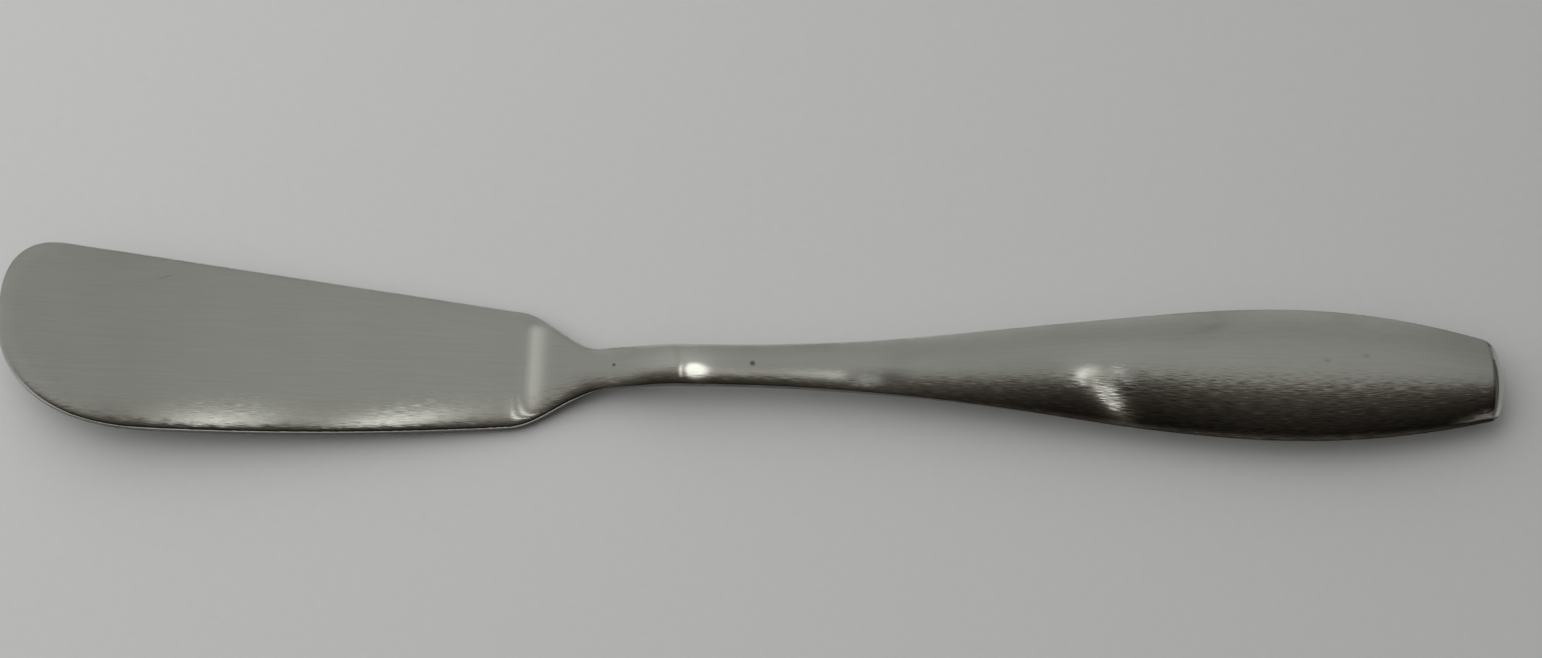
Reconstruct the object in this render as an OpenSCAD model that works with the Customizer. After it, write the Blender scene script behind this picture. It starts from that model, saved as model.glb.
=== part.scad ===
// Butter knife with a hollow handle.
// A forged blade, shoulder and neck end in a tang, which is bedded in cement between two pressed
// handle shells. The shells are soldered to each other along the handle's edge and to the neck at
// the handle's mouth, and the whole surface is ground flush.
// The knife lies on its side: +X runs from the tip to the butt, +Y from the cutting edge to the spine.

/* [Blade] */
// Length of the blade from its heel to its tip
blade_len = 54.7; // [48:0.1:70]
// Height of the spine above the handle's axis, at the heel
spine_heel = 7.15; // [5:0.05:9]
// Angle at which the spine climbs from the heel towards the tip
spine_angle = 6.5; // [3:0.1:9]
// Depth of the cutting edge below the handle's axis, at the heel
edge_heel = 6.5; // [5:0.1:9]
// Greatest depth of the cutting edge below the handle's axis
edge_belly = 8.5; // [7:0.1:12]
// Distance from the heel to the place where the cutting edge is deepest
belly_at = 37; // [28:0.5:40]
// Height of the foremost point of the tip above the handle's axis
nose_rise = 5.9; // [3:0.1:7]
// Length of the round corner between the tip and the spine
nose_corner = 6.6; // [4:0.1:9]
// How full the round tip is, where 2 is an ellipse
nose_fullness = 2.35; // [2:0.05:3]
// Thickness of the blade's flat
blade_t = 1.5; // [1:0.1:2.4]
// Width of the rolled-off margin along the cutting edge
edge_margin = 4; // [2:0.1:6]
// Width of the rolled-off margin at the foremost point of the tip
tip_margin = 1.6; // [0.8:0.1:4]
// Width of the rolled-off margin along the spine
spine_margin = 1.6; // [0.8:0.1:3]
// Depth of the slight hollow across the underside, which makes the heel stand on its two sides
heel_hollow = 0.08; // [0.02:0.01:0.2]
// Height of the tip above the heel
tip_lift = 4.4; // [0:0.1:8]

/* [Shoulder and neck] */
// Length of the shoulder on the cutting edge's side, from the heel to the neck
shoulder_len = 11; // [8:0.5:16]
// Distance from the heel to the start of the shoulder on the spine's side
spine_shoulder_at = 0.8; // [0:0.1:3]
// Length of the shoulder on the spine's side
spine_shoulder_len = 8.9; // [7:0.1:15]
// Distance from the heel to the line that it rests on, where the shoulder starts to climb
bend_at = 2.6; // [1:0.1:4]
// Length of the strip along that line that is ground flat to rest on
heel_land = 1.2; // [0.8:0.1:2]
// Half length of the bend in the top face above that line
bend_soft = 2.6; // [1:0.1:4]
// Length of the neck, from the shoulder to the handle's mouth
neck_len = 9; // [6:0.5:18]
// Width of the neck
neck_w = 4.6; // [4:0.1:6]
// Thickness of the neck
neck_t = 3.5; // [3.2:0.1:5]
// Share of the neck's thickness that is above its edge line
neck_crown = 0.18; // [0.17:0.01:0.4]
// Rise of the neck's underside from the heel to the crest
neck_lift = 1.15; // [0.6:0.05:2]
// Distance from the heel to the crest where the neck stops climbing
crest_at = 16.8; // [13:0.1:19]
// Half length of the bend at the crest
crest_soft = 2.2; // [1:0.1:4]
// Height of the crest above the neck behind it
crest_rise = 0.1; // [0:0.05:0.4]
// Length over which the crest falls away on either side
crest_len = 3; // [2:0.1:5]

/* [Handle] */
// Length of the handle, from its mouth to its butt
handle_len = 85.3; // [75:0.1:110]
// Distance from the mouth to the widest place
bulb_at = 62.5; // [50:0.5:68]
// Greatest width
bulb_w = 15.2; // [11:0.1:20]
// Greatest thickness
bulb_t = 7.2; // [6:0.1:11]
// How late the handle widens, where 1 is even
swell_delay = 1.2; // [1:0.01:1.6]
// Distance from the mouth to the bend where the handle starts to thicken
thicken_at = 19; // [10:0.5:24]
// Half length of that bend
thicken_soft = 4; // [2:0.5:8]
// Distance from the mouth to the bend where the handle stops thickening
thickest_at = 44; // [38:0.5:56]
// Half length of that bend
thickest_soft = 4; // [2:0.5:10]
// Width at the butt
butt_w = 8.5; // [7:0.1:12]
// Thickness at the butt
butt_t = 4.6; // [4:0.1:7]
// Height of the butt's underside above the table
butt_lift = 0.5; // [0:0.1:2]
// Radius of the edge round the butt
butt_r = 1.3; // [0.8:0.1:1.6]
// Bulge of the butt's end face
butt_bulge = 0.6; // [0.3:0.1:1.2]
// Wall of the two shells
wall = 0.45; // [0.3:0.05:0.5]

/* [Tang and joints] */
// Length of the tang inside the handle
tang_len = 36; // [20:1:50]
// Thickness of the cement round the tang at the handle's mouth
cement_t = 0.25; // [0.15:0.01:0.4]
// Diameter of the tang at its end
tang_end_d = 1.5; // [1:0.1:2]
// Thickness of the solder between the shells and at the neck
solder_t = 0.1; // [0.05:0.01:0.2]
// Gap that the cement leaves round the tang and inside the shells
cement_gap = 0.05; // [0.02:0.01:0.1]

/* [Hidden] */

// Places along the knife, with the heel at 0
tip_x = -blade_len;
corner_x = tip_x + nose_corner;
belly_x = -belly_at;
nose_len = blade_len - belly_at;
land_start = bend_at - heel_land / 2;
land_end = bend_at + heel_land / 2;
mouth_x = shoulder_len + neck_len;
bulb_x = mouth_x + bulb_at;
butt_x = mouth_x + handle_len;

// The frame's origin is under the middle of the knife's box
spine_top = max([for (x = [tip_x : 0.25 : corner_x]) spine_y(x)]);
shift = [-(tip_x + butt_x) / 2, -(spine_top - edge_belly) / 2, 0];

// How finely the surfaces are stepped
half_sides = 14;
sides = 2 * half_sides;
nose_steps = 12;
flat_steps = 8;
heel_steps = 2;
neck_steps = 24;
tang_steps = 8;
handle_steps = 30;
corner_steps = 4;
dome_steps = 4;

// How far the butt's rounded edge turns before the end face, and its least radius inside the wall
corner_sweep = 65;
least_corner = 0.25;

// How much is ground off the heel's strip
heel_ground = 0.012;

// How blunt the blade's rim is, where 2 is round
rim_bluntness = 5;

// How sharply the neck's and handle's crown meets the edge line, where 1 is an ellipse; so does the keel of
// the thickened handle
crown_power = 1.7;

// Least height of the crown inside the wall
least_crown = 0.08;

// Colours
steel = [0.62, 0.62, 0.6];
solder = [0.7, 0.69, 0.64];
cement = [0.55, 0.52, 0.47];

// Easing and mixing
function mix(a, b, k) = a + (b - a) * k;
function ease(t) = let (c = min(1, max(0, t))) c * c * (3 - 2 * c);
function hinge(x, soft) = x <= -soft ? 0 : x >= soft ? x : pow(x + soft, 2) / (4 * soft);
function ramp(x, from, from_soft, to, to_soft) =
    (hinge(x - from, from_soft) - hinge(x - to, to_soft)) / (to - from);

// Plan outline: the spine is on the +Y side and the cutting edge on the -Y side
function spine_line(x) = spine_heel - x * tan(spine_angle);
function edge_line(x) = edge_belly - (edge_belly - edge_heel) * pow(max(0, 1 + x / belly_at), 2);
function nose_round(along, length) =
    let (t = min(1, max(0, along / length)))
    pow(1 - pow(t, nose_fullness), 1 / nose_fullness);
function spine_y(x) =
    x < 0 ? nose_rise + (spine_line(x) - nose_rise) * nose_round(corner_x - x, nose_corner)
    : mix(spine_line(x), half_w(x), ease((x - spine_shoulder_at) / spine_shoulder_len));
function edge_y(x) =
    x < 0 ? nose_rise - (edge_line(x) + nose_rise) * nose_round(belly_x - x, nose_len)
    : -mix(edge_line(x), half_w(x), ease(x / shoulder_len));

// Share of the swell from the mouth to the widest place, and of the taper from there to the butt
function swell(x) = ease(pow(max(0, (x - mouth_x) / bulb_at), swell_delay));
function taper(x) = pow(max(0, (x - bulb_x) / (butt_x - bulb_x)), 2);
function half_w(x) = (mix(neck_w, bulb_w, swell(x)) - (bulb_w - butt_w) * taper(x)) / 2;

// Side profile: the blade slopes down to the heel's line, the shoulder and neck climb from there to the
// crest, and the handle thickens from its mouth to the widest place, where it rests on the table again
function climb(x, from, soft) = ramp(x, from, soft, crest_at, crest_soft);
function crest(x) = crest_rise * exp(-pow((x - crest_at) / crest_len, 2));
function rise(x) = ramp(x - mouth_x, thicken_at, thicken_soft, thickest_at, thickest_soft);
function tilt(x, soft) = tip_lift / blade_len * hinge(land_start - x, soft);
function under_z(x) = tilt(x, 0) + neck_lift * climb(x, land_end, 0) * (1 - rise(x)) + butt_lift * taper(x);
function over_z(x) =
    let (neck_top = neck_lift + neck_t, butt_top = butt_lift + butt_t)
    tilt(x, bend_soft) + mix(blade_t, neck_top, climb(x, bend_at, bend_soft)) + crest(x)
    + (bulb_t - neck_top) * rise(x) - (bulb_t - butt_top) * taper(x);
function half_t(x) = (over_z(x) - under_z(x)) / 2;
function mid_z(x) = (over_z(x) + under_z(x)) / 2;

// Height of the crown above the edge line, and depth of the keel below it
function crown_share(x) = mix(0.5, neck_crown, roundness(x) * (1 - rise(x)));
function crown(x) = 2 * half_t(x) * crown_share(x);
function keel(x) = 2 * half_t(x) * (1 - crown_share(x));
function edge_z(x) = under_z(x) + keel(x);
function keel_power(x) = mix(1, crown_power, rise(x));

// Distance of a point on the blade from its rim, near the round tip and along the straight edges
function nose_gap(across, along, height, length) =
    let (
        a = max(0, across / height),
        b = max(0, along / length),
        r = pow(pow(a, nose_fullness) + pow(b, nose_fullness), 1 / nose_fullness),
        steepness = norm([pow(a, nose_fullness - 1) / height, pow(b, nose_fullness - 1) / length])
    )
    steepness == 0 ? length : max(0, 1 - r) * pow(r, nose_fullness - 1) / steepness;
function spine_gap(x, y) =
    x > corner_x ? spine_y(x) - y
    : nose_gap(y - nose_rise, corner_x - x, spine_line(x) - nose_rise, nose_corner);
function edge_gap(x, y) =
    x > belly_x ? y - edge_y(x)
    : nose_gap(nose_rise - y, belly_x - x, edge_line(x) + nose_rise, nose_len);
function rim(d) = pow(1 - pow(1 - min(1, max(0, d)), 2), 1 / rim_bluntness);
function margin(x) = mix(tip_margin, edge_margin, ease((x - tip_x) / nose_len));
function plate(x, y) = rim(edge_gap(x, y) / margin(x)) * rim(spine_gap(x, y) / spine_margin);

// Cross-section of the blade, shoulder and neck: a plate that turns into a crown and a keel behind the bend
function roundness(x) =
    let (bend_end = bend_at + bend_soft)
    ease((x - bend_end) / (shoulder_len - bend_end));
function hollow(x, y) =
    let (
        low = edge_y(x) + edge_margin,
        high = spine_y(x) - spine_margin,
        across = (2 * y - low - high) / max(1, high - low),
        near_heel = ease(2 * (1 + x / belly_at))
    )
    heel_hollow * max(0, 1 - across * across) * near_heel * (1 - roundness(x));
function blade_point(x, j) =
    let (
        side = -cos(360 * j / sides),
        y = mix(edge_y(x), spine_y(x), (side + 1) / 2),
        full = sqrt(max(0, 1 - side * side)),
        over = crown(x) * mix(plate(x, y), pow(full, crown_power), roundness(x)),
        under = keel(x) * mix(plate(x, y), full, roundness(x)) - hollow(x, y),
        ground = heel_ground * (1 - roundness(x))
    )
    [x, y, j < half_sides ? edge_z(x) + over : max(0, edge_z(x) - under - ground)];
function blade_ring(x) = [for (j = [0 : sides - 1]) blade_point(x, j)];

// Tang: it follows the middle of the handle and narrows to its end
function tang_r(x) = mix(half_t(mouth_x) - wall - cement_t, tang_end_d / 2, (x - mouth_x) / tang_len);
function tang_loop(x, gap) =
    let (r = tang_r(x) + gap)
    [for (j = [0 : sides - 1]) [x, -r * cos(360 * j / sides), mid_z(x) + r * sin(360 * j / sides)]];

// Stations of the handle's surface, set in by a depth:
// [x, half width, crown, keel, height of the edge line, sharpness of the keel]
function end_r(depth) = max(butt_r - depth, least_corner);
function end_x(depth) = butt_x - depth - butt_bulge;
function station(x, depth, cut) =
    let (inset = depth + cut)
    [x, half_w(x) - inset, max(least_crown, crown(x) - inset), keel(x) - inset, edge_z(x), keel_power(x)];
function corner_station(depth, angle) =
    let (r = end_r(depth), x = end_x(depth) - r * (sin(corner_sweep) - sin(angle)))
    station(x, depth, r * (1 - cos(angle)));
function dome_station(depth, share) =
    let (last = corner_station(depth, corner_sweep))
    concat(last[0] + butt_bulge * (1 - share * share), [for (i = [1 : 3]) last[i] * share], last[4], last[5]);
function stations(depth) =
    let (start_x = end_x(depth) - end_r(depth) * sin(corner_sweep))
    concat(
        [for (i = [0 : handle_steps - 1]) station(mix(mouth_x, start_x, i / handle_steps), depth, 0)],
        [for (i = [0 : corner_steps]) corner_station(depth, corner_sweep * i / corner_steps)],
        [for (i = [1 : dome_steps - 1]) dome_station(depth, 1 - i / dome_steps)]
    );
function pole(depth) = let (s = dome_station(depth, 0)) [s[0], 0, s[4]];

// A station's section, whole, or the half above or below the edge line with a gap left there
function section_point(s, gap, j) =
    let (
        turn = 360 * j / sides,
        up = sin(turn),
        z = up > 0 ? gap + (s[2] - gap) * pow(up, crown_power) : -gap - (s[3] - gap) * pow(-up, s[5])
    )
    [s[0], -s[1] * cos(turn), s[4] + z];
function section(s) = [for (j = [0 : sides - 1]) section_point(s, 0, j)];
function half_section(s, side) =
    let (gap = solder_t / 2)
    [for (j = [0 : half_sides])
        j % half_sides == 0 ? [s[0], -s[1] * cos(360 * j / sides), s[4] + side * gap]
        : section_point(s, gap, side > 0 ? j : sides - j)];

// Faces between neighbouring rows of n points, and between a row and the point that closes it
function band(row, next, n, closed) =
    [for (j = [0 : n - (closed ? 1 : 2)])
        let (k = (j + 1) % n)
        each [[row + j, next + k, next + j], [row + j, row + k, next + k]]];
function fan(tip, row, n, closed) =
    [for (j = [0 : n - (closed ? 1 : 2)]) [tip, row + (j + 1) % n, row + j]];
function turned(faces) = [for (f = faces) [f[0], f[2], f[1]]];
function backwards(list) = [for (i = [len(list) - 1 : -1 : 0]) list[i]];
function joined(rows) = [for (r = rows) each r];

// A solid over closed rings, with a point to close each end
module loft(first, rings, last) {
    n = len(rings[0]);
    m = len(rings);
    polyhedron(
        points = concat([first], joined(rings), [last]),
        faces = concat(
            fan(0, 1, n, true),
            [for (i = [0 : m - 2]) each band(1 + i * n, 1 + (i + 1) * n, n, true)],
            turned(fan(1 + m * n, 1 + (m - 1) * n, n, true))
        )
    );
}

// A solid over closed rings that lead back to the first one
module hoop(rings) {
    n = len(rings[0]);
    m = len(rings);
    polyhedron(
        points = joined(rings),
        faces = [for (i = [0 : m - 1]) each band(i * n, (i + 1) % m * n, n, true)]
    );
}

// One half of the handle's wall, above the solder line for side 1 and below it for side -1
module half_shell(side) {
    seat = [0, 0, side * solder_t / 2];
    n = half_sides + 1;
    outer = stations(0);
    inner = stations(wall);
    m = len(outer);
    rows = [for (s = concat(outer, inner)) half_section(s, side)];
    inside = m * n;
    outer_pole = 2 * m * n;
    inner_pole = outer_pole + 1;
    left = concat([for (i = [0 : m - 1]) i * n], [outer_pole]);
    left_inside = concat([for (i = [0 : m - 1]) inside + i * n], [inner_pole]);
    right = concat([for (i = [0 : m - 1]) i * n + n - 1], [outer_pole]);
    right_inside = concat([for (i = [0 : m - 1]) inside + i * n + n - 1], [inner_pole]);
    faces = concat(
        [for (i = [0 : m - 2]) each band(i * n, (i + 1) * n, n, false)],
        [for (i = [0 : m - 2]) each turned(band(inside + i * n, inside + (i + 1) * n, n, false))],
        turned(fan(outer_pole, (m - 1) * n, n, false)),
        fan(inner_pole, inside + (m - 1) * n, n, false),
        turned(band(0, inside, n, false)),
        seam_faces(left, left_inside),
        turned(seam_faces(right, right_inside))
    );
    polyhedron(
        points = concat(joined(rows), [pole(0) + seat, pole(wall) + seat]),
        faces = side > 0 ? faces : turned(faces)
    );
}
function seam_faces(outer, inner) =
    [for (i = [0 : len(outer) - 2])
        each [[outer[i], outer[i + 1], inner[i + 1]], [outer[i], inner[i + 1], inner[i]]]];

module blade() {
    root_x = mouth_x - solder_t;
    tang_x = mouth_x + tang_len;
    nose = [for (i = [1 : nose_steps]) mix(tip_x, corner_x, 1 - cos(90 * i / nose_steps))];
    flat = [for (i = [1 : flat_steps]) mix(corner_x, 0, i / flat_steps)];
    heel = concat([for (i = [1 : heel_steps]) mix(0, land_start, i / heel_steps)], [land_end]);
    neck = [for (i = [1 : neck_steps]) mix(land_end, root_x, i / neck_steps)];
    tang = [for (i = [0 : tang_steps]) mix(root_x, tang_x, i / tang_steps)];
    rings = concat(
        [for (x = concat(nose, flat, heel, neck)) blade_ring(x)],
        [for (x = tang) tang_loop(x, 0)]
    );
    color(steel)
        translate(shift)
            loft([tip_x, nose_rise, edge_z(tip_x)], rings, [tang_x, 0, mid_z(tang_x)]);
}

module upper_shell() {
    color(steel)
        translate(shift)
            half_shell(1);
}

module lower_shell() {
    color(steel)
        translate(shift)
            half_shell(-1);
}

// Cement that fills the shells round the tang
module cement_core() {
    depth = wall + cement_gap;
    socket_x = mouth_x + tang_len + cement_gap;
    socket = [for (i = [0 : tang_steps]) tang_loop(mix(mouth_x, socket_x, i / tang_steps), cement_gap)];
    outside = [for (s = stations(depth)) section(s)];
    color(cement)
        translate(shift)
            loft([socket_x, 0, mid_z(socket_x)], concat(backwards(socket), outside), pole(depth));
}

// Line of solder between the two shells, round the whole edge of the handle
module shell_solder() {
    outer = concat([for (s = stations(0)) [s[0], s[1], s[4]]], [pole(0)]);
    inner = concat([for (s = stations(wall)) [s[0], s[1], s[4]]], [pole(wall)]);
    m = len(outer);
    rings = concat(
        [for (i = [0 : m - 1]) solder_ring(outer[i], inner[i], -1)],
        [for (i = [m - 2 : -1 : 0]) solder_ring(outer[i], inner[i], 1)]
    );
    color(solder)
        translate(shift)
            loft(centre(rings[0]), rings, centre(rings[len(rings) - 1]));
}
function solder_ring(out, inn, side) =
    let (half = solder_t / 2)
    [
        [out[0], side * out[1], out[2] + half],
        [inn[0], side * inn[1], inn[2] + half],
        [inn[0], side * inn[1], inn[2] - half],
        [out[0], side * out[1], out[2] - half]
    ];
function centre(ring) = (ring[0] + ring[1] + ring[2] + ring[3]) / 4;

// Ring of solder between the neck and the handle's mouth
module neck_solder() {
    near_x = mouth_x - solder_t;
    outside = [for (x = [near_x, mouth_x]) section(station(x, 0, 0))];
    bore = [for (x = [mouth_x, near_x]) tang_loop(x, cement_gap)];
    color(solder)
        translate(shift)
            hoop(concat(outside, bore));
}

blade();
upper_shell();
lower_shell();
cement_core();
shell_solder();
neck_solder();
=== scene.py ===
import math
import bmesh
import bpy
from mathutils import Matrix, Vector


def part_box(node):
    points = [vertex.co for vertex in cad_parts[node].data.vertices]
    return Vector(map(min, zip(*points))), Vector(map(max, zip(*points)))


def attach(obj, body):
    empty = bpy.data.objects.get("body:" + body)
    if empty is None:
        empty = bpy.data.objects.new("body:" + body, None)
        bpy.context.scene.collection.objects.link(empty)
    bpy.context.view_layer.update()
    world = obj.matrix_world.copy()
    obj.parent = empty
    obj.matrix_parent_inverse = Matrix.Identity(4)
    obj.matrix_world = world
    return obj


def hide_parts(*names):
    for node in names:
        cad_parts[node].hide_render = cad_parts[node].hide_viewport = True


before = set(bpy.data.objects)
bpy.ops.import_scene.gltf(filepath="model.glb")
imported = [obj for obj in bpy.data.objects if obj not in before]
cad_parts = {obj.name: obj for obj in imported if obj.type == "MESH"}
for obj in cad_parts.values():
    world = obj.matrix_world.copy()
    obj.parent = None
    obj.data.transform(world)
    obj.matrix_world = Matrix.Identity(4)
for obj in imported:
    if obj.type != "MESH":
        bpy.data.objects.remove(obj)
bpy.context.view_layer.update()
print("frame loaded:", sorted(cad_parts))


# A socket of a node tree. Arithmetic on it adds Math nodes, and place() adds any other node.
class Wire:
    def __init__(self, socket):
        self.socket = socket
        self.tree = socket.id_data

    @staticmethod
    def place(tree, kind, settings=None, sockets=None, out=0):
        node = tree.nodes.new(kind)
        for key, value in (settings or {}).items():
            setattr(node, key, value)
        pairs = sockets.items() if isinstance(sockets, dict) else enumerate(sockets or [])
        for key, value in pairs:
            if isinstance(value, Wire):
                tree.links.new(value.socket, node.inputs[key])
            else:
                node.inputs[key].default_value = value
        return Wire(node.outputs[out])

    def math(self, operation, *others):
        return Wire.place(self.tree, "ShaderNodeMath", {"operation": operation}, [self, *others])

    def reflected(self, operation, other):
        return Wire.place(self.tree, "ShaderNodeMath", {"operation": operation}, [other, self])

    def vector(self, operation, *others, out=0):
        return Wire.place(self.tree, "ShaderNodeVectorMath", {"operation": operation}, [self, *others], out)

    def scaled(self, amount):
        return Wire.place(self.tree, "ShaderNodeVectorMath", {"operation": "SCALE"},
                          {0: self, "Scale": amount})

    def other(self, name):
        return Wire(self.socket.node.outputs[name])

    def parts(self):
        x = Wire.place(self.tree, "ShaderNodeSeparateXYZ", None, [self])
        return x, x.other("Y"), x.other("Z")

    def __add__(self, other):
        return self.math("ADD", other)

    def __radd__(self, other):
        return self.math("ADD", other)

    def __sub__(self, other):
        return self.math("SUBTRACT", other)

    def __rsub__(self, other):
        return self.reflected("SUBTRACT", other)

    def __mul__(self, other):
        return self.math("MULTIPLY", other)

    def __rmul__(self, other):
        return self.math("MULTIPLY", other)

    def __truediv__(self, other):
        return self.math("DIVIDE", other)

    def __rtruediv__(self, other):
        return self.reflected("DIVIDE", other)

    def __pow__(self, other):
        return self.math("POWER", other)


# Maths that takes plain numbers and sockets alike
def most(a, b):
    return a.math("MAXIMUM", b) if isinstance(a, Wire) else max(a, b)


def least(a, b):
    return a.math("MINIMUM", b) if isinstance(a, Wire) else min(a, b)


def above(a, b):
    return a.math("GREATER_THAN", b) if isinstance(a, Wire) else float(a > b)


def root(a):
    return a.math("SQRT") if isinstance(a, Wire) else math.sqrt(a)


def sine(a):
    return a.math("SINE") if isinstance(a, Wire) else math.sin(a)


def cosine(a):
    return a.math("COSINE") if isinstance(a, Wire) else math.cos(a)


def natural(a):
    return a.math("EXPONENT") if isinstance(a, Wire) else math.exp(a)


def mixed(a, b, k):
    return a + (b - a) * k


def bell(offset):
    return natural(-1 * offset * offset)


def clamped(t):
    return most(least(t, 1), 0)


def ease(t):
    c = clamped(t)
    return c * c * (3 - 2 * c)


def hinge(x, soft):
    turned = most(least(x, soft), -1 * soft) + soft
    return turned * turned / (4 * soft) + most(x - soft, 0)


def ramp(x, start, startSoft, end, endSoft):
    return (hinge(x - start, startSoft) - hinge(x - end, endSoft)) / (end - start)


# Sizes of the blade, shoulder and neck in millimetres, the same as the solid's
bladeSizes = {
    "bladeLen": 54.7,
    "spineHeel": 7.15,
    "spineAngle": math.radians(6.5),
    "edgeHeel": 6.5,
    "edgeBelly": 8.5,
    "bellyAt": 37.0,
    "noseRise": 5.9,
    "noseCorner": 6.6,
    "noseFullness": 2.35,
    "bladeT": 1.5,
    "edgeMargin": 4.0,
    "tipMargin": 1.6,
    "spineMargin": 1.6,
    "rimBluntness": 5.0,
    "tipLift": 4.4,
    "heelHollow": 0.08,
    "heelGround": 0.012,
    "heelLand": 1.2,
    "shoulderLen": 11.0,
    "spineShoulderAt": 0.8,
    "spineShoulderLen": 8.9,
    "bendAt": 2.6,
    "bendSoft": 2.6,
    "neckLen": 9.0,
    "neckW": 4.6,
    "neckT": 3.5,
    "neckCrown": 0.18,
    "neckLift": 1.15,
    "crownPower": 1.7,
    "crestAt": 16.8,
    "crestSoft": 2.2,
    "crestRise": 0.1,
    "crestLen": 3.0,
}

# Sizes of the handle, and of the tang and solder inside it
handleSizes = {
    "handleLen": 85.3,
    "bulbAt": 62.5,
    "bulbW": 15.2,
    "bulbT": 7.2,
    "swellDelay": 1.2,
    "thickenAt": 19.0,
    "thickenSoft": 4.0,
    "thickestAt": 44.0,
    "thickestSoft": 4.0,
    "buttW": 8.5,
    "buttT": 4.6,
    "buttLift": 0.5,
    "buttR": 1.3,
    "buttBulge": 0.6,
    "cornerSweep": math.radians(65),
    "leastCorner": 0.25,
    "wall": 0.45,
    "leastCrown": 0.08,
    "tangLen": 36.0,
    "cementT": 0.25,
    "tangEndD": 1.5,
    "solderT": 0.1,
    "cementGap": 0.05,
}


# Places along the knife, with the heel at 0
def mouthX(s):
    return s["shoulderLen"] + s["neckLen"]


def buttX(s):
    return mouthX(s) + s["handleLen"]


def bulbX(s):
    return mouthX(s) + s["bulbAt"]


# Width and thickness of the neck and handle
def swell(s, x):
    return ease(most((x - mouthX(s)) / s["bulbAt"], 0) ** s["swellDelay"])


def taper(s, x):
    t = most((x - bulbX(s)) / (buttX(s) - bulbX(s)), 0)
    return t * t


def halfW(s, x):
    return (mixed(s["neckW"], s["bulbW"], swell(s, x)) - (s["bulbW"] - s["buttW"]) * taper(s, x)) / 2


def crest(s, x):
    t = (x - s["crestAt"]) / s["crestLen"]
    return s["crestRise"] * natural(-1 * t * t)


def rise(s, x):
    return ramp(x - mouthX(s), s["thickenAt"], s["thickenSoft"], s["thickestAt"], s["thickestSoft"])


# Underside with a crisp strip at the heel, and the top face with its soft bend above it
def underZ(s, x):
    slope = s["tipLift"] / s["bladeLen"]
    start = s["bendAt"] - s["heelLand"] / 2
    end = s["bendAt"] + s["heelLand"] / 2
    climb = (most(x - end, 0) - hinge(x - s["crestAt"], s["crestSoft"])) / (s["crestAt"] - end)
    return slope * most(start - x, 0) + s["neckLift"] * climb * (1 - rise(s, x)) + s["buttLift"] * taper(s, x)


def overZ(s, x):
    slope = s["tipLift"] / s["bladeLen"]
    start = s["bendAt"] - s["heelLand"] / 2
    neckTop = s["neckLift"] + s["neckT"]
    buttTop = s["buttLift"] + s["buttT"]
    climb = ramp(x, s["bendAt"], s["bendSoft"], s["crestAt"], s["crestSoft"])
    front = slope * hinge(start - x, s["bendSoft"]) + mixed(s["bladeT"], neckTop, climb) + crest(s, x)
    return front + (s["bulbT"] - neckTop) * rise(s, x) - (s["bulbT"] - buttTop) * taper(s, x)


def midZ(s, x):
    return (overZ(s, x) + underZ(s, x)) / 2


# Finer rounding than the solid's, as a sideways slope of the shading: along the cutting edge, across the
# stem and at the handle's edges
finerSizes = {
    "edgeRoll": 0.15,
    "edgeRollReach": 5.0,
    "bladeRound": 0.05,
    "stemRound": 0.12,
    "stemStart": 10.0,
    "stemEnd": 52.0,
    "stemSoft": 6.0,
    "farTrim": 0.5,
    "farTrimFrom": 0.4,
    "nearTrim": 0.5,
    "nearTrimFrom": 0.92,
}


def stemRound(s, x, side):
    start = ease((x - s["stemStart"]) / s["stemSoft"])
    end = ease((s["stemEnd"] - x) / (2 * s["stemSoft"]))
    return s["stemRound"] * side * start * end


# Turns the crown back towards the top where it meets the edges of the thickened handle
def edgeTrim(s, x, side):
    far = s["farTrim"] * ease((side - s["farTrimFrom"]) / (1 - s["farTrimFrom"]))
    near = s["nearTrim"] * ease((-1 * side - s["nearTrimFrom"]) / (1 - s["nearTrimFrom"]))
    return (near - far) * rise(s, x)


# Share of the round neck section, then the crown above the edge line and the keel below it
def roundness(s, x):
    bendEnd = s["bendAt"] + s["bendSoft"]
    return ease((x - bendEnd) / (s["shoulderLen"] - bendEnd))


def sectionAt(s, x):
    under = underZ(s, x)
    thick = overZ(s, x) - under
    crown = thick * mixed(0.5, s["neckCrown"], roundness(s, x) * (1 - rise(s, x)))
    keel = thick - crown
    return crown, keel, under + keel


# How sharply the keel meets the edge line: round at the neck, sharp where the handle has thickened
def keelPower(s, x):
    return mixed(1, s["crownPower"], rise(s, x))


# Plan outline of the blade
def spineLine(s, x):
    return s["spineHeel"] - x * s["spineSlope"]


def edgeLine(s, x):
    t = most(1 + x / s["bellyAt"], 0)
    return s["edgeBelly"] - (s["edgeBelly"] - s["edgeHeel"]) * t * t


def noseRound(s, along, length):
    n = s["noseFullness"]
    return most(1 - clamped(along / length) ** n, 0) ** (1 / n)


def cornerX(s):
    return s["noseCorner"] - s["bladeLen"]


def noseLen(s):
    return s["bladeLen"] - s["bellyAt"]


def spineY(s, x):
    front = s["noseRise"] + (spineLine(s, x) - s["noseRise"]) * noseRound(s, cornerX(s) - x, s["noseCorner"])
    back = mixed(spineLine(s, x), halfW(s, x), ease((x - s["spineShoulderAt"]) / s["spineShoulderLen"]))
    return mixed(front, back, above(x, 0))


def edgeY(s, x):
    front = s["noseRise"] - (edgeLine(s, x) + s["noseRise"]) * noseRound(s, -1 * s["bellyAt"] - x, noseLen(s))
    back = -1 * mixed(edgeLine(s, x), halfW(s, x), ease(x / s["shoulderLen"]))
    return mixed(front, back, above(x, 0))


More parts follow.
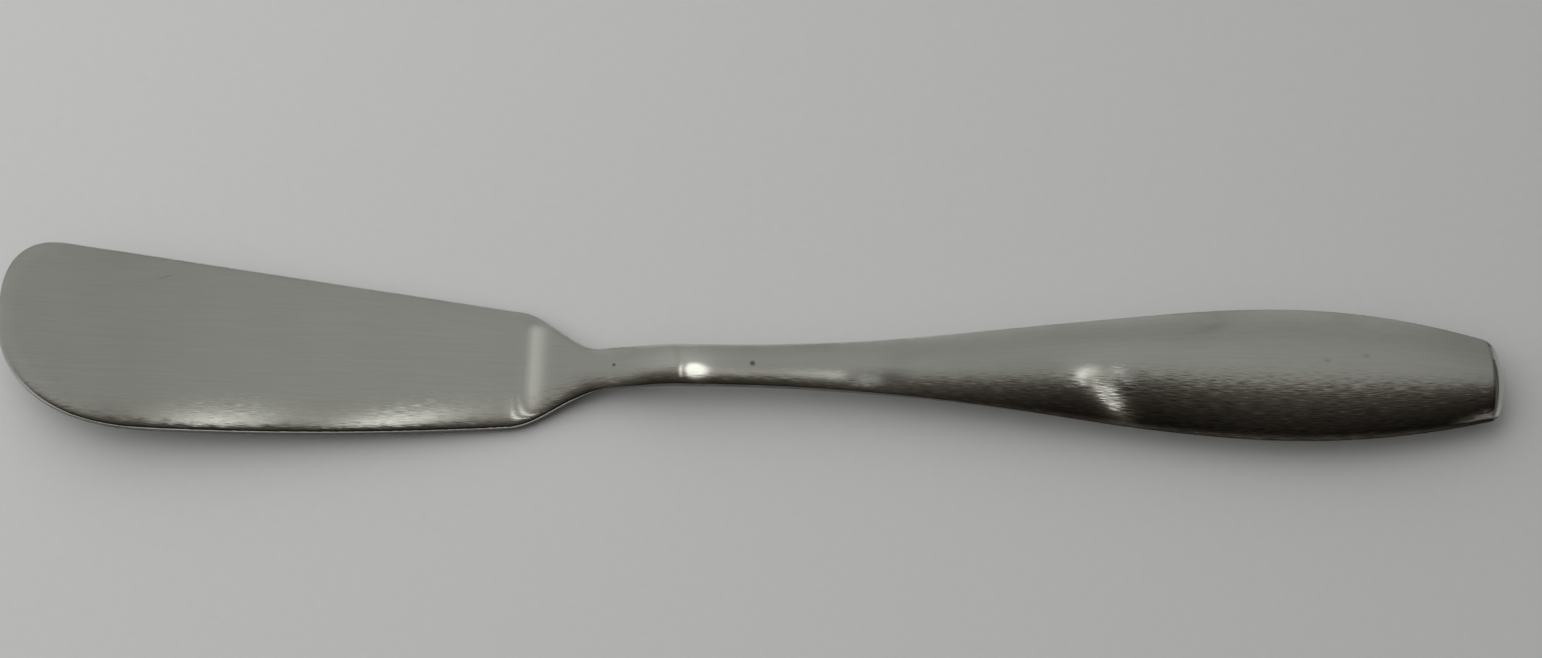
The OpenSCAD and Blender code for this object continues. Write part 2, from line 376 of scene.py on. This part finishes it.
# Distance from the blade's rim, and how far the rim has rolled off there
def noseGap(s, across, along, height, length):
    n = s["noseFullness"]
    a = most(across / height, 0.001)
    b = most(along / length, 0.001)
    r = (a ** n + b ** n) ** (1 / n)
    steepA = a ** (n - 1) / height
    steepB = b ** (n - 1) / length
    return most(1 - r, 0) * r ** (n - 1) / root(steepA * steepA + steepB * steepB)


def rim(s, d):
    c = 1 - clamped(d)
    return most(1 - c * c, 0) ** (1 / s["rimBluntness"])


def plate(s, x, y):
    nose = noseGap(s, y - s["noseRise"], cornerX(s) - x, spineLine(s, x) - s["noseRise"], s["noseCorner"])
    spineGap = mixed(nose, spineY(s, x) - y, above(x, cornerX(s)))
    nose = noseGap(s, s["noseRise"] - y, -1 * s["bellyAt"] - x, edgeLine(s, x) + s["noseRise"], noseLen(s))
    edgeGap = mixed(nose, y - edgeY(s, x), above(x, -1 * s["bellyAt"]))
    margin = mixed(s["tipMargin"], s["edgeMargin"], ease((x + s["bladeLen"]) / noseLen(s)))
    return rim(s, edgeGap / margin) * rim(s, spineGap / s["spineMargin"]), edgeGap


# Slight hollow of the underside near the heel
def hollow(s, x, y):
    low = edgeY(s, x) + s["edgeMargin"]
    high = spineY(s, x) - s["spineMargin"]
    across = (2 * y - low - high) / most(high - low, 1)
    nearHeel = ease(2 * (1 + x / s["bellyAt"]))
    return s["heelHollow"] * most(1 - across * across, 0) * nearHeel * (1 - roundness(s, x))


def tangR(s, x):
    wide = (overZ(s, mouthX(s)) - underZ(s, mouthX(s))) / 2 - s["wall"] - s["cementT"]
    return mixed(wide, s["tangEndD"] / 2, (x - mouthX(s)) / s["tangLen"])


# Values that follow from the sizes: the origin is under the middle of the knife's box
def completed(sizes):
    s = dict(sizes)
    s["spineSlope"] = math.tan(s["spineAngle"])
    nose = [0.25 * i - s["bladeLen"] for i in range(int(s["noseCorner"] / 0.25) + 1)]
    spineTop = max(spineY(s, x) for x in nose)
    s["shiftX"] = (s["bladeLen"] - buttX(s)) / 2
    s["shiftY"] = (s["edgeBelly"] - spineTop) / 2
    return s


sizes = completed({**bladeSizes, **handleSizes, **finerSizes})
print("blade and handle meet at", round(mouthX(sizes) + sizes["shiftX"], 3), "mm")


# A tree with one named input for each size, and a grid of rows along the knife and columns round it
def newTree(name, rows, columns):
    tree = bpy.data.node_groups.new(name, "GeometryNodeTree")
    tree.interface.new_socket("Geometry", in_out="INPUT", socket_type="NodeSocketGeometry")
    tree.interface.new_socket("Geometry", in_out="OUTPUT", socket_type="NodeSocketGeometry")
    for key, value in sizes.items():
        tree.interface.new_socket(key, in_out="INPUT", socket_type="NodeSocketFloat").default_value = value
    entry = tree.nodes.new("NodeGroupInput")
    s = {key: Wire(entry.outputs[key]) for key in sizes}
    counts = {"Size X": 1.0, "Size Y": 1.0, "Vertices X": rows + 1, "Vertices Y": columns + 1}
    grid = Wire.place(tree, "GeometryNodeMeshGrid", None, counts, "Mesh")
    u, v, _ = Wire.place(tree, "GeometryNodeInputPosition").parts()
    return tree, s, grid, (u + 0.5) * rows, (v + 0.5) * columns


# Moves the grid's points to their places, closes its seams and ends the tree
def finishTree(tree, s, grid, points, grain, edge, roll, material):
    x, y, z = points
    spot = Wire.place(tree, "ShaderNodeCombineXYZ", None, [x + s["shiftX"], y + s["shiftY"], z]).scaled(0.001)
    lay = Wire.place(tree, "ShaderNodeCombineXYZ", None, [x + s["shiftX"], *grain]).scaled(0.001)
    stored = grid
    layers = [("FLOAT_VECTOR", "grain", lay), ("FLOAT", "edge", edge), ("FLOAT", "roll", roll)]
    for kind, name, value in layers:
        stored = Wire.place(tree, "GeometryNodeStoreNamedAttribute", {"data_type": kind, "domain": "POINT"},
                            {"Geometry": stored, "Name": name, "Value": value})
    moved = Wire.place(tree, "GeometryNodeSetPosition", None, {"Geometry": stored, "Position": spot})
    merged = Wire.place(tree, "GeometryNodeMergeByDistance", None, {"Geometry": moved, "Distance": 5e-8})
    smooth = Wire.place(tree, "GeometryNodeSetShadeSmooth", None, {"Geometry": merged})
    real = Wire.place(tree, "GeometryNodeRealizeInstances", None, {"Geometry": smooth})
    last = Wire.place(tree, "GeometryNodeSetMaterial", None, {"Geometry": real, "Material": material})
    tree.links.new(last.socket, tree.nodes.new("NodeGroupOutput").inputs["Geometry"])


def volumeOf(mesh):
    work = bmesh.new()
    work.from_mesh(mesh)
    volume = work.calc_volume(signed=True)
    work.free()
    return volume


# Turns a tree into a plain mesh piece that stands for a solid of the frame
def pieceFrom(tree, name, node):
    piece = bpy.data.objects.new(name, bpy.data.meshes.new(name))
    bpy.context.scene.collection.objects.link(piece)
    shape = piece.modifiers.new("Shape", "NODES")
    shape.node_group = tree
    for item in tree.interface.items_tree:
        if item.in_out == "INPUT" and item.name in sizes:
            shape[item.identifier] = sizes[item.name]
    evaluated = piece.evaluated_get(bpy.context.evaluated_depsgraph_get())
    mesh = bpy.data.meshes.new_from_object(evaluated)
    piece.modifiers.clear()
    piece.data = mesh
    mesh.name = name
    if volumeOf(mesh) < 0:
        mesh.flip_normals()
    mesh.set_sharp_from_angle(angle=math.radians(50))
    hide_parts(node)
    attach(piece, "root")
    low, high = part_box(node)
    volume = round(volumeOf(mesh) * 1e9, 1)
    print(name, len(mesh.polygons), "faces,", volume, "mm3, solid's box", low[:], high[:])


# A material with an empty tree, its closing shader, and a mix of two colours
def newMaterial(name):
    material = bpy.data.materials.new(name)
    material.use_nodes = True
    material.node_tree.nodes.clear()
    return material, material.node_tree


def closeMaterial(tree, sockets):
    shader = Wire.place(tree, "ShaderNodeBsdfPrincipled", None, sockets)
    tree.links.new(shader.socket, tree.nodes.new("ShaderNodeOutputMaterial").inputs["Surface"])


def blend(tree, share, first, second):
    return Wire.place(tree, "ShaderNodeMix", {"data_type": "RGBA"}, {0: share, 6: first, 7: second}, 2)


# Looks of the satin steel: lengths in metres, tilts as slopes. Flats turn the surface so that a bright spot
# shows, and their colour is painted paler there as a painted highlight. Bands are painted highlights: paler
# stripes standing in for reflections at the shoulder and neck. The near-black colour is painted shade on the
# steep faces near the edges; the first two smudges are painted shade that darkens stray reflections of the
# dome, and the others are marks on the steel.
satinLook = {
    "pale": (0.59, 0.595, 0.545, 1),
    "dullAndPaintedShade": (0.52, 0.525, 0.48, 1),
    "roughness": 0.09,
    "roughnessSpread": 0.03,
    "fineLine": 0.00004,
    "fineLength": 0.0015,
    "fineTilt": 0.62,
    "broadLine": 0.00016,
    "broadLength": 0.006,
    "broadTilt": 0.035,
    "cloudSize": 0.012,
    "cloudShare": 1.2,
    "broadShare": 1.4,
    "rubbed": (0.80, 0.805, 0.75, 1),
    "rubbedFrom": 0.6,
    "rubbedPatches": 3.0,
    "rubbedSmoother": 0.03,
    # Near-black colour: painted shade on steep faces and over stray reflections, and dark marks on the steel
    "paintedShadeAndMarks": (0.10, 0.10, 0.09, 1),
    "steepFrom": 0.55,
    "steepSoft": 0.3,
    "steepStrip": 0.5,
    "steepDepth": 0.95,
    "flatFill": 0.8,
    "flatGrain": 1.5,
    # Flats tilt the surface towards a lamp, and their colour is also painted paler as a painted highlight
    "flats": [
        {"at": (-0.0057, -0.0030), "size": (0.0015, 0.0010), "turn": 0.0, "slope": (-0.030, 0.29)},
        {"at": (0.0376, -0.0059), "size": (0.0034, 0.0012), "turn": -0.7, "slope": (0.056, 0.29)},
    ],
    # The first two are painted shade that darkens stray reflections of the dome; the others are marks on the
    # steel
    "paintedShadeAndSmudges": [
        {"at": (0.0392, -0.0043), "size": (0.0013, 0.0010), "turn": 0.0, "depth": 0.66},
        {"at": (0.0136, -0.0037), "size": (0.0030, 0.0008), "turn": 0.0, "depth": 0.65},
        {"at": (0.0491, 0.0022), "size": (0.0016, 0.0006), "turn": 0.4, "depth": 0.16},
        {"at": (0.0606, -0.0020), "size": (0.0003, 0.0002), "turn": 0.0, "depth": 0.25},
        {"at": (0.0648, -0.0013), "size": (0.0003, 0.0002), "turn": 0.0, "depth": 0.25},
        {"at": (-0.0627, 0.0069), "size": (0.0007, 0.0001), "turn": 0.3, "depth": 0.25},
    ],
    # Painted highlights: paler stripes that stand in for reflections across the shoulder and the neck
    "bands": [(-0.0229, 0.0010, 0.95), (-0.0231, 0.0002, 0.15), (-0.0075, 0.0040, 0.40)],
    "bandFar": 0.0038,
    "bandNear": -0.0078,
    "bandSoft": 0.0015,
    # Pale colour of the painted highlights of the bands and the flats
    "band": (0.92, 0.93, 0.85, 1),
    "pits": [(-0.01435, -0.00205, 0.00016), (0.00039, -0.0022, 0.00024)],
    "pit": (0.05, 0.05, 0.045, 1),
    "pitDepth": 0.7,
    "pitRougher": 0.4,
}


def streaks(tree, grain, line, length, detail):
    stretched = grain.vector("MULTIPLY", (1 / length, 1 / line, 1 / line))
    return Wire.place(tree, "ShaderNodeTexNoise", {"noise_dimensions": "3D"},
                      {"Vector": stretched, "Scale": 1.0, "Detail": detail, "Roughness": 0.6})


# A small patch of the surface, longer one way than the other
def patch(along, across, look):
    c = math.cos(look["turn"])
    n = math.sin(look["turn"])
    dx = along - look["at"][0]
    dy = across - look["at"][1]
    u = (dx * c + dy * n) / look["size"][0]
    v = (dy * c - dx * n) / look["size"][1]
    return clamped(1.2 * natural(-1 * (u * u + v * v)))


# Steel brushed along the knife: fine lines lean the surface to either side, so highlights spread across them
def satinSteel(name, look):
    material, tree = newMaterial(name)
    grain = Wire.place(tree, "ShaderNodeAttribute", {"attribute_name": "grain"}, None, "Vector")
    spot = Wire.place(tree, "ShaderNodeTexCoord", None, None, "Object")
    fine = streaks(tree, grain, look["fineLine"], look["fineLength"], 2.0)
    broad = streaks(tree, grain, look["broadLine"], look["broadLength"], 2.0)
    cloud = Wire.place(tree, "ShaderNodeTexNoise", None,
                       {"Vector": spot, "Scale": 1 / look["cloudSize"], "Detail": 4.0, "Roughness": 0.55})
    lean = (fine - 0.5) * look["fineTilt"] + (broad - 0.5) * look["broadTilt"]
    turn = Wire.place(tree, "ShaderNodeAttribute", {"attribute_name": "roll"}, None, "Fac")
    normal = Wire.place(tree, "ShaderNodeNewGeometry", None, None, "Normal")
    sideways = normal.vector("CROSS_PRODUCT", (1.0, 0.0, 0.0)).vector("NORMALIZE")
    brushed = normal.vector("ADD", sideways.scaled(lean + turn)).vector("NORMALIZE")
    up = above(normal.parts()[2], 0.2)
    along, across, _ = spot.parts()
    # Flats: each tilts the normal, and its shine mask also paints the colour paler, a painted highlight
    shine = 0.0
    for flat in look["flats"]:
        mark = patch(along, across, flat) * up * clamped(look["flatFill"] + (fine - 0.5) * look["flatGrain"])
        shine = mark + shine
        face = Vector((-flat["slope"][0], -flat["slope"][1], 1)).normalized()
        turned = Wire.place(tree, "ShaderNodeVectorMath", {"operation": "SCALE"}, {0: face, "Scale": mark})
        brushed = brushed.scaled(1 - mark).vector("ADD", turned).vector("NORMALIZE")
    plan = spot.vector("MULTIPLY", (1.0, 1.0, 0.0))
    pit = 0.0
    for x, y, radius in look["pits"]:
        pit = clamped(1.6 - plan.vector("DISTANCE", (x, y, 0.0), out="Value") / radius) + pit
    worn = clamped(pit) * up * look["pitDepth"]
    edge = Wire.place(tree, "ShaderNodeAttribute", {"attribute_name": "edge"}, None, "Fac")
    rub = 1 - ease((edge - look["rubbedFrom"]) / (1 - look["rubbedFrom"]))
    rub = rub * clamped(0.5 + (cloud - 0.5) * look["rubbedPatches"])
    # Painted highlight: paler stripes across the shoulder and neck, kept between a far and a near limit
    band = 0.0
    for at, wide, gain in look["bands"]:
        band = bell((along - at) / wide) * gain + band
    band = band * ease((look["bandFar"] - across) / look["bandSoft"])
    band = band * ease((across - look["bandNear"]) / look["bandSoft"])
    shade = clamped(0.5 + (cloud - 0.5) * look["cloudShare"] + (broad - 0.5) * look["broadShare"])
    # Painted shade: steep faces near the edges, such as the walls under the cutting edge, are painted
    # near-black
    steep = ease((look["steepFrom"] - normal.parts()[2]) / look["steepSoft"])
    dullAndPaintedShade = steep * (1 - ease((edge - look["steepStrip"]) / look["steepSoft"])) * look["steepDepth"]
    # More painted shade over stray reflections in the first two patches, and dark marks in the rest
    for darkPatch in look["paintedShadeAndSmudges"]:
        dullAndPaintedShade = dullAndPaintedShade + patch(along, across, darkPatch) * up * darkPatch["depth"]
    tone = blend(tree, shade, look["dullAndPaintedShade"], look["pale"])
    tone = blend(tree, rub, tone, look["rubbed"])
    # Blend in the painted highlights of the bands and the flats
    tone = blend(tree, clamped(band + shine) * up, tone, look["band"])
    # Blend in the painted shade and the dark marks
    tone = blend(tree, clamped(dullAndPaintedShade), tone, look["paintedShadeAndMarks"])
    tone = blend(tree, worn, tone, look["pit"])
    rough = look["roughness"] + (cloud - 0.5) * look["roughnessSpread"]
    rough = rough + worn * look["pitRougher"] - rub * look["rubbedSmoother"]
    closeMaterial(tree, {"Base Color": tone, "Metallic": 1.0, "Roughness": rough, "Normal": brushed})
    return material


bladeSteel = satinSteel("blade_satin_steel", satinLook)
handleSteel = satinSteel("handle_satin_steel", satinLook)
print("steel made")


# Blade, shoulder, neck and tang, as rings from the tip to the tang's end
bladeMesh = {"nose": 40, "flat": 60, "neck": 120, "tang": 12, "round": 128, "edgeCrowding": 1.3}


def bladeTree():
    m = bladeMesh
    flatRow = m["nose"] + m["flat"]
    neckRow = flatRow + m["neck"]
    tangRow = neckRow + 1 + m["tang"]
    tree, s, grid, row, column = newTree("blade_shape", tangRow + 1, m["round"])
    rootX = mouthX(s) - s["solderT"]
    noseTurn = clamped(row / m["nose"]) * (math.pi / 2)
    x = (1 - cosine(noseTurn)) * s["noseCorner"] - s["bladeLen"]
    x = x - cornerX(s) * clamped((row - m["nose"]) / m["flat"])
    x = x + rootX * clamped((row - flatRow) / m["neck"])
    x = x + (s["tangLen"] + s["solderT"]) * clamped((row - neckRow - 1) / m["tang"])
    turn = column * (2 * math.pi / m["round"])
    cosTurn = cosine(turn)
    sideSign = 1 - 2 * above(cosTurn, 0)
    reach = 1 - most(1 - cosTurn.math("ABSOLUTE"), 0) ** m["edgeCrowding"]
    side = sideSign * reach
    lower = above(column, m["round"] / 2)
    y = mixed(edgeY(s, x), spineY(s, x), (side + 1) / 2)
    full = root(most(1 - side * side, 0))
    flatness, edgeGap = plate(s, x, y)
    turned = roundness(s, x)
    crown, keel, edgeZ = sectionAt(s, x)
    over = edgeZ + crown * mixed(flatness, full ** s["crownPower"], turned)
    ground = s["heelGround"] * (1 - turned)
    under = most(edgeZ - keel * mixed(flatness, full, turned) + hollow(s, x, y) - ground, 0)
    z = mixed(over, under, lower)
    inTang = above(row, neckRow + 0.5)
    tangSize = tangR(s, x) * (1 - above(row, tangRow + 0.5))
    across = mixed(y, side * 4, ease(x / s["shoulderLen"]))
    y = mixed(y, -1 * tangSize * cosTurn, inTang)
    z = mixed(z, midZ(s, x) + tangSize * sine(turn), inTang)
    edge = mixed(flatness, full, turned)
    nose = ease((x + s["bladeLen"]) / noseLen(s))
    roll = s["bladeRound"] * side - s["edgeRoll"] * clamped(1 - edgeGap / s["edgeRollReach"]) * nose * nose
    roll = (stemRound(s, x, side) + roll * (1 - turned)) * (1 - lower)
    finishTree(tree, s, grid, (x, y, z), (across, 3 - 6 * lower), edge, roll, bladeSteel)
    return tree


pieceFrom(bladeTree(), "knife_blade", "blade")


# Handle shells: each ring goes over the outside and back along the inside of one half
shellMesh = {"main": 140, "corner": 14, "dome": 12, "half": 64}


# A point row of the handle at a depth under its surface: place along, half width, crown, keel, the edge
# line's height and the keel's sharpness
def handleRow(s, depth, row):
    m = shellMesh
    endR = most(s["buttR"] - depth, s["leastCorner"])
    startX = buttX(s) - depth - s["buttBulge"] - endR * sine(s["cornerSweep"])
    angle = s["cornerSweep"] * clamped((row - m["main"]) / m["corner"])
    share = 1 - clamped((row - m["main"] - m["corner"]) / m["dome"])
    x = mixed(mouthX(s), startX, clamped(row / m["main"])) + endR * sine(angle)
    cut = depth + endR * (1 - cosine(angle))
    crown, keel, edgeZ = sectionAt(s, x)
    wide = (halfW(s, x) - cut) * share
    crown = most(crown - cut, s["leastCrown"]) * share
    along = x + s["buttBulge"] * (1 - share * share)
    return along, wide, crown, (keel - cut) * share, edgeZ, keelPower(s, x)


def shellTree(name, side):
    m = shellMesh
    half = m["half"]
    rows = 1 + m["main"] + m["corner"] + m["dome"]
    tree, s, grid, row, column = newTree(name, rows, 2 * half + 2)
    last = above(column, 2 * half + 1.5)
    inside = above(column, half + 0.5) * (1 - last)
    turn = mixed(column / half * (1 - last), (2 * half + 1 - column) / half, inside) * math.pi
    depth = s["wall"] * mixed(0.5, inside, above(row, 0.5))
    x, wide, crown, keel, z, power = handleRow(s, depth, most(row - 1, 0))
    y = -1 * wide * cosine(turn)
    high = most(sine(turn), 0)
    gap = s["solderT"] / 2
    if side > 0:
        z = z + gap + most(crown - gap, 0) * high ** s["crownPower"]
    else:
        z = z - gap - most(keel - gap, 0) * high ** power
    across = -1 * cosine(turn)
    roll = (stemRound(s, x, across) + edgeTrim(s, x, across)) * (1 - inside) * (side > 0)
    lay = (across * 4, inside * 5 + 3 * side)
    finishTree(tree, s, grid, (x, y, z), lay, high ** 0.4, roll, handleSteel)
    return tree


pieceFrom(shellTree("upper_shell_shape", 1), "handle_upper_shell", "upper_shell")
pieceFrom(shellTree("lower_shell_shape", -1), "handle_lower_shell", "lower_shell")


# Solder line between the shells: a flat strip from one side of the mouth round the butt to the other
def seamSolderTree():
    m = shellMesh
    oneSide = m["main"] + m["corner"] + m["dome"]
    tree, s, grid, row, column = newTree("seam_solder_shape", 2 * oneSide + 2, 4)
    step = row - 1 - oneSide
    ends = above(step.math("ABSOLUTE"), oneSide + 0.5)
    sideSign = 2 * above(step, 0) - 1
    along = oneSide - least(step.math("ABSOLUTE"), oneSide)
    inner = above(column, 0.5) * (1 - above(column, 2.5))
    upper = 1 - above(column, 1.5) * (1 - above(column, 3.5))
    depth = s["wall"] * mixed(inner, 0.5, ends)
    x, wide, _, _, z, _ = handleRow(s, depth, along)
    z = z + s["solderT"] * (upper - 0.5) * (1 - ends)
    finishTree(tree, s, grid, (x, sideSign * wide, z), (sideSign * 4, 0.0), 0.0, 0.0, handleSteel)
    return tree


pieceFrom(seamSolderTree(), "handle_seam_solder", "shell_solder")


# Solder ring between the neck and the handle's mouth
def neckSolderTree():
    sides = 2 * shellMesh["half"]
    tree, s, grid, row, column = newTree("neck_solder_shape", 4, sides)
    turn = column * (2 * math.pi / sides)
    bore = above(row, 1.5) * (1 - above(row, 3.5))
    back = above(row, 0.5) * (1 - above(row, 2.5))
    x = mouthX(s) - s["solderT"] * (1 - back)
    crown, keel, edgeZ = sectionAt(s, x)
    outside = edgeZ + crown * most(sine(turn), 0) ** s["crownPower"] - keel * most(-1 * sine(turn), 0)
    tang = tangR(s, x) + s["cementGap"]
    y = -1 * mixed(halfW(s, x), tang, bore) * cosine(turn)
    z = mixed(outside, midZ(s, x) + tang * sine(turn), bore)
    edge = most(sine(turn), 0) ** 0.4
    roll = stemRound(s, x, -1 * cosine(turn)) * above(sine(turn), 0)
    finishTree(tree, s, grid, (x, y, z), (cosine(turn) * -4, 3.0), edge, roll, handleSteel)
    return tree


pieceFrom(neckSolderTree(), "neck_solder_ring", "neck_solder")
print("pieces made")


# Cement inside the handle: pale, gritty and matt
cementLook = {
    "light": (0.60, 0.57, 0.52, 1),
    "dark": (0.42, 0.40, 0.36, 1),
    "grit": 0.0004,
    "bump": 0.4,
    "bumpDepth": 0.0002,
    "roughness": 0.9,
}


def cementMaterial(look):
    material, tree = newMaterial("handle_cement")
    spot = Wire.place(tree, "ShaderNodeTexCoord", None, None, "Object")
    grit = Wire.place(tree, "ShaderNodeTexNoise", None,
                      {"Vector": spot, "Scale": 1 / look["grit"], "Detail": 6.0})
    tone = blend(tree, grit, look["dark"], look["light"])
    bump = Wire.place(tree, "ShaderNodeBump", None,
                      {"Strength": look["bump"], "Distance": look["bumpDepth"], "Height": grit})
    closeMaterial(tree, {"Base Color": tone, "Roughness": look["roughness"], "Normal": bump})
    return material


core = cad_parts["cement_core"]
core.data.materials.clear()
core.data.materials.append(cementMaterial(cementLook))


# Plain pale floor
floorLook = {
    "size": 4.0,
    "colour": (0.63, 0.635, 0.63, 1),
    "shade": (0.60, 0.605, 0.60, 1),
    "fibres": 900.0,
    "roughness": 0.7,
    "specular": 0.2,
}


def makeFloor(look):
    half = look["size"] / 2
    mesh = bpy.data.meshes.new("floor")
    corners = [(-half, -half, 0), (half, -half, 0), (half, half, 0), (-half, half, 0)]
    mesh.from_pydata(corners, [], [(0, 1, 2, 3)])
    floor = bpy.data.objects.new("floor", mesh)
    bpy.context.scene.collection.objects.link(floor)
    material, tree = newMaterial("floor_paper")
    spot = Wire.place(tree, "ShaderNodeTexCoord", None, None, "Object")
    cloud = Wire.place(tree, "ShaderNodeTexNoise", None,
                       {"Vector": spot, "Scale": look["fibres"], "Detail": 5.0})
    tone = blend(tree, cloud, look["shade"], look["colour"])
    closeMaterial(tree, {"Base Color": tone, "Roughness": look["roughness"],
                         "Specular IOR Level": look["specular"]})
    mesh.materials.append(material)


makeFloor(floorLook)


# Soft studio dome: pale all round, but for the dark place in front where the camera stands. Angles run from
# the far horizon over the top to the near one, and places across are the direction's X. The fades to the
# right are a share, where it starts and how far it runs. The dip and the glints are a place, a width and a
# strength.
domeLook = {
    "level": 0.39,
    "pale": (1.0, 1.0, 0.98, 1),
    "warm": (1.0, 0.84, 0.72, 1),
    "farFade": 0.2,
    "farEnd": math.radians(60),
    "nearAt": math.radians(90),
    "nearSoft": math.radians(18),
    "tailShare": 0.64,
    "tailLength": math.radians(21),
    "nearEnd": math.radians(150),
    "nearEndSoft": math.radians(14),
    "nearEndFrom": 0.54,
    "nearEndShare": 0.9,
    "frontLeft": -0.62,
    "frontRight": 0.85,
    "frontSoft": 0.10,
    "rightFade": (0.04, 0.0, 0.5),
    "rightEnd": (0.3, 0.3, 0.4),
    "rightFloor": (0.6, 0.55, 0.25),
    "dip": (-0.105, 0.035, 0.1),
    "dipEnd": math.radians(105),
    "dipSoft": 0.2,
    "glints": [(-0.05, 0.016, 1.15), (0.024, 0.016, 1.4)],
    "glintAt": math.radians(97),
    "glintTall": math.radians(10),
}


def makeDome(look):
    world = bpy.data.worlds.new("studio_dome")
    bpy.context.scene.world = world
    world.use_nodes = True
    tree = world.node_tree
    tree.nodes.clear()
    x, y, z = Wire.place(tree, "ShaderNodeTexCoord", None, None, "Generated").parts()
    angle = z.math("ARCTAN2", y)
    near = ease((angle - look["nearAt"]) / (2 * look["nearSoft"]) + 0.5)
    tail = look["tailShare"] * natural(most(angle - look["nearAt"], 0) / -look["tailLength"])
    middle = (look["frontRight"] + look["frontLeft"]) / 2
    half = (look["frontRight"] - look["frontLeft"]) / 2
    front = ease((half - (x - middle).math("ABSOLUTE")) / (2 * look["frontSoft"]) + 0.5)
    aside = ease((x.math("ABSOLUTE") - look["nearEndFrom"]) / look["frontSoft"])
    low = 1 - look["nearEndShare"] * aside * ease((angle - look["nearEnd"]) / look["nearEndSoft"])
    dark = near * front * low * (1 - tail)
    far = 1 - look["farFade"] * (1 - ease(angle / look["farEnd"]))
    share, start, run = look["rightFade"]
    sides = 1 - share * clamped((x - start) / run)
    for share, start, run in (look["rightEnd"], look["rightFloor"]):
        sides = sides * (1 - share * ease((x - start) / run))
    level = look["level"] * (1 - dark) * far * sides
    at, wide, depth = look["dip"]
    upTo = 1 - ease((angle - look["dipEnd"]) / look["dipSoft"])
    level = level * (1 - depth * upTo * bell((x - at) / wide))
    tall = bell((angle - look["glintAt"]) / look["glintTall"])
    shine = 0.0
    for at, wide, gain in look["glints"]:
        shine = tall * bell((x - at) / wide) * gain + shine
    level = level + shine
    warmth = dark * (1 - clamped(shine * 3))
    colour = blend(tree, warmth, look["pale"], look["warm"])
    sky = Wire.place(tree, "ShaderNodeBackground", None, {"Color": colour, "Strength": level})
    tree.links.new(sky.socket, tree.nodes.new("ShaderNodeOutputWorld").inputs["Surface"])


makeDome(domeLook)

# Soft lamps for the floor and its shadows, which the steel doesn't mirror: place and size in metres, power
# in watts
lamps = {
    "softbox": {"at": (-0.17, 0.12, 0.20), "size": 0.6, "power": 0.86},
    "fill": {"at": (-0.06, -0.14, 0.32), "size": 0.6, "power": 0.30},
}


def makeLamp(name, look):
    light = bpy.data.lights.new(name, "AREA")
    light.shape = "DISK"
    light.size = look["size"]
    light.energy = look["power"]
    lamp = bpy.data.objects.new(name, light)
    lamp.location = look["at"]
    lamp.rotation_euler = (-Vector(look["at"])).to_track_quat("-Z", "Y").to_euler()
    lamp.visible_camera = False
    lamp.visible_glossy = False
    bpy.context.scene.collection.objects.link(lamp)


for name, look in lamps.items():
    makeLamp(name, look)

# Camera at the photograph's angle
cameraLook = {"eye": (0.004303, -0.118934, 0.263645), "aim": (0.002248, 0.003055, 0.002), "lens": 62.77}


def makeCamera(look):
    data = bpy.data.cameras.new("camera")
    data.sensor_width = 36.0
    data.lens = look["lens"]
    data.clip_start = 0.01
    camera = bpy.data.objects.new("camera", data)
    camera.location = look["eye"]
    camera.rotation_euler = (Vector(look["aim"]) - Vector(look["eye"])).to_track_quat("-Z", "Y").to_euler()
    bpy.context.scene.collection.objects.link(camera)
    bpy.context.scene.camera = camera


makeCamera(cameraLook)
bpy.context.scene.view_settings.view_transform = "Standard"
print("stage, lamps and camera set")
